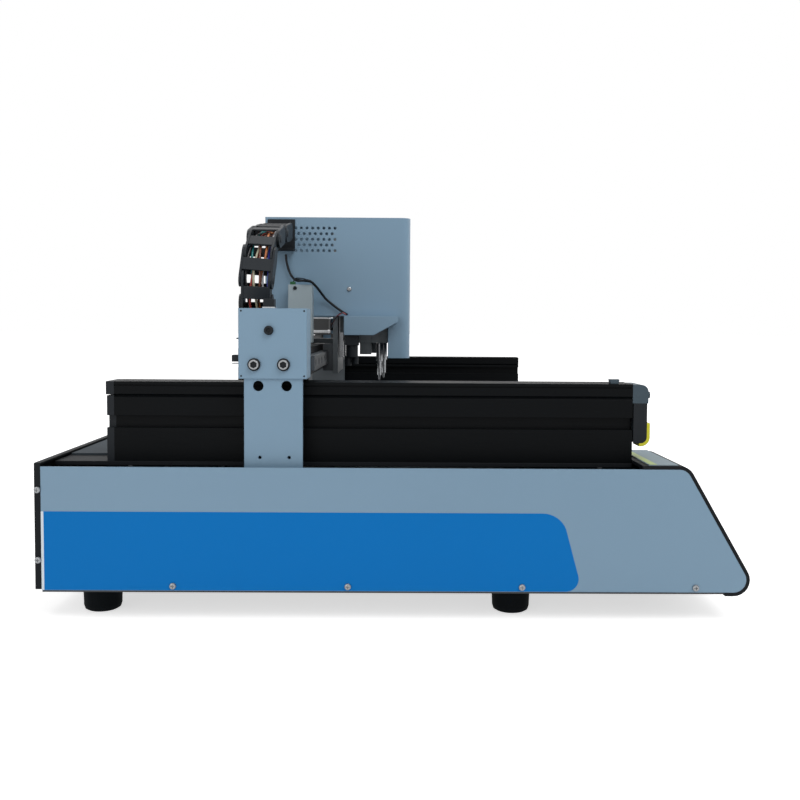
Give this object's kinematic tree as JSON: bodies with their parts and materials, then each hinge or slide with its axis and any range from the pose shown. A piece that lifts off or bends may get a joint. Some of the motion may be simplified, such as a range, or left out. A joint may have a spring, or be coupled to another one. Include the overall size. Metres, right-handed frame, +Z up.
{
  "type": "desktop pick and place machine",
  "caption": "Bench-top machine for placing electronic parts: a gantry on two rails over a low sheet-metal base, carrying a head with twin vacuum nozzles and a drag chain.",
  "frame": {"origin": "on the bench, under the middle of the machine's overall box", "axes": "+X operator's right, front faces -Y, +Z up"},
  "size_m": [0.944, 0.6852, 0.41],
  "materials": {
    "dark_steel": "satin powder coat",
    "blue_grey_paint": "fine satin paint",
    "black_cover": "fine textured black paint",
    "grey_plate": "satin grey",
    "rubber": "matte",
    "zinc_screws": "zinc plated",
    "black_anodised": "black anodised",
    "black_plastic": "moulded",
    "guide_steel": "ground",
    "grey_cast": "satin grey",
    "yellow_plastic": "moulded",
    "pale_plate": "satin",
    "motor_black": "black enamel",
    "belt_rubber": "matte",
    "green_board": "solder resist",
    "pump_plastic": "moulded",
    "red_plastic": "moulded",
    "bar_aluminium": "anodised",
    "wire_orange": "cable sheath"
  },
  "bodies": {
    "root": {"base_tray": "dark_steel", "left_side_panel": "blue_grey_paint", "right_side_panel": "blue_grey_paint", "front_cover": "black_cover", "rear_panel": "black_cover", "cross_members": "dark_steel", "deck_plate": "black_cover", "work_plate": "grey_plate", "rubber_feet": "rubber", "panel_screws": "zinc_screws", "left_rail": "black_anodised", "right_rail": "black_anodised", "rail_end_plates": "black_plastic", "y_guides": "guide_steel", "rail_cap": "grey_cast", "end_sensor": "black_plastic", "sensor_guard": "yellow_plastic", "front_rest_plates": "pale_plate", "y_motor": "motor_black", "y_belts": "belt_rubber", "power_supply": "grey_plate", "control_board": "green_board", "vacuum_pumps": "pump_plastic", "up_camera": "black_plastic", "power_inlet": "black_plastic", "estop_base": "yellow_plastic", "board_fixed_bar": "bar_aluminium"},
    "gantry": {"x_beam": "black_anodised", "x_guide": "guide_steel", "end_boxes": "blue_grey_paint", "post_plates": "blue_grey_paint", "y_carriages": "grey_cast", "beam_bolts": "zinc_screws", "x_motor": "motor_black", "x_belt": "belt_rubber", "chain_tray": "black_cover", "drag_chain": "black_plastic", "chain_wires": "wire_orange"},
    "head": {"x_carriages": "guide_steel", "head_plate": "grey_cast", "head_cover": "blue_grey_paint", "z_motor": "motor_black", "z_guides": "guide_steel", "camera_bracket": "blue_grey_paint", "down_camera": "black_plastic", "terminal_box": "pale_plate", "chain_end_bracket": "black_cover", "head_cable": "belt_rubber"},
    "nozzle_a": {"nozzle_a_slide": "grey_cast"},
    "spindle_a": {"nozzle_a_spindle": "guide_steel"},
    "nozzle_b": {"nozzle_b_slide": "grey_cast"},
    "spindle_b": {"nozzle_b_spindle": "guide_steel"},
    "pinion": {"z_pinion": "guide_steel"},
    "drive_shaft": {"y_drive_shaft": "guide_steel"},
    "idler_shaft": {"y_idler_shaft": "guide_steel"},
    "x_drive_pulley": {"x_motor_pulley": "bar_aluminium"},
    "x_free_pulley": {"x_idler_pulley": "bar_aluminium"},
    "stop_button": {"estop_button": "red_plastic"},
    "rocker": {"power_rocker": "red_plastic"},
    "sliding_bar": {"board_sliding_bar": "bar_aluminium"}
  },
  "joints": [
    {"name": "gantry_slide", "type": "slide", "parent": "root", "child": "gantry", "axis": [0, 1, 0], "range_m": [-0.25, 0.1]},
    {"name": "head_slide", "type": "slide", "parent": "gantry", "child": "head", "axis": [1, 0, 0], "range_m": [-0.03, 0.44], "deforming": ["drag_chain", "chain_wires"]},
    {"name": "nozzle_a_slide", "type": "slide", "parent": "head", "child": "nozzle_a", "axis": [0, 0, 1], "range_m": [-0.027, 0.027]},
    {"name": "nozzle_b_slide", "type": "slide", "parent": "head", "child": "nozzle_b", "axis": [0, 0, 1], "range_m": [-0.027, 0.027]},
    {"name": "nozzle_a_spin", "type": "hinge", "parent": "nozzle_a", "child": "spindle_a", "pos_m": [-0.197, 0.0185, 0.23], "axis": [0, 0, 1], "continuous": true},
    {"name": "nozzle_b_spin", "type": "hinge", "parent": "nozzle_b", "child": "spindle_b", "pos_m": [-0.137, 0.0135, 0.23], "axis": [0, 0, 1], "continuous": true},
    {"name": "pinion_spin", "type": "hinge", "parent": "head", "child": "pinion", "pos_m": [-0.167, 0.054, 0.325], "axis": [0, 1, 0], "range_deg": [-88, 88]},
    {"name": "drive_shaft_spin", "type": "hinge", "parent": "root", "child": "drive_shaft", "pos_m": [0, 0.3, 0.098], "axis": [1, 0, 0], "range_deg": [-460, 1130]},
    {"name": "idler_shaft_spin", "type": "hinge", "parent": "root", "child": "idler_shaft", "pos_m": [0, -0.247, 0.098], "axis": [1, 0, 0], "range_deg": [-460, 1130]},
    {"name": "x_drive_pulley_spin", "type": "hinge", "parent": "gantry", "child": "x_drive_pulley", "pos_m": [0.393, 0.139, 0.264], "axis": [0, 0, 1], "range_deg": [-260, 3720]},
    {"name": "x_free_pulley_spin", "type": "hinge", "parent": "gantry", "child": "x_free_pulley", "pos_m": [-0.436, 0.139, 0.264], "axis": [0, 0, 1], "range_deg": [-260, 3720]},
    {"name": "stop_button_press", "type": "slide", "parent": "root", "child": "stop_button", "axis": [0, 0.866, -0.5], "range_m": [0, 0.005], "stiffness_N_per_m": 600, "springref_m": -0.002},
    {"name": "power_rocker_tilt", "type": "hinge", "parent": "root", "child": "rocker", "pos_m": [0.33, 0.34, 0.088], "axis": [1, 0, 0], "range_deg": [-8, 8]},
    {"name": "board_bar_slide", "type": "slide", "parent": "root", "child": "sliding_bar", "axis": [0, 1, 0], "range_m": [-0.15, 0.035]}
  ],
  "couplings": [
    {"joint": "nozzle_b_slide", "follows": "nozzle_a_slide", "ratio": -1},
    {"joint": "pinion_spin", "follows": "nozzle_a_slide", "rad_per_m": 55.556},
    {"joint": "drive_shaft_spin", "follows": "gantry_slide", "rad_per_m": -78.431},
    {"joint": "idler_shaft_spin", "follows": "gantry_slide", "rad_per_m": -78.431},
    {"joint": "x_drive_pulley_spin", "follows": "head_slide", "rad_per_m": 147.06},
    {"joint": "x_free_pulley_spin", "follows": "head_slide", "rad_per_m": 147.06}
  ]
}
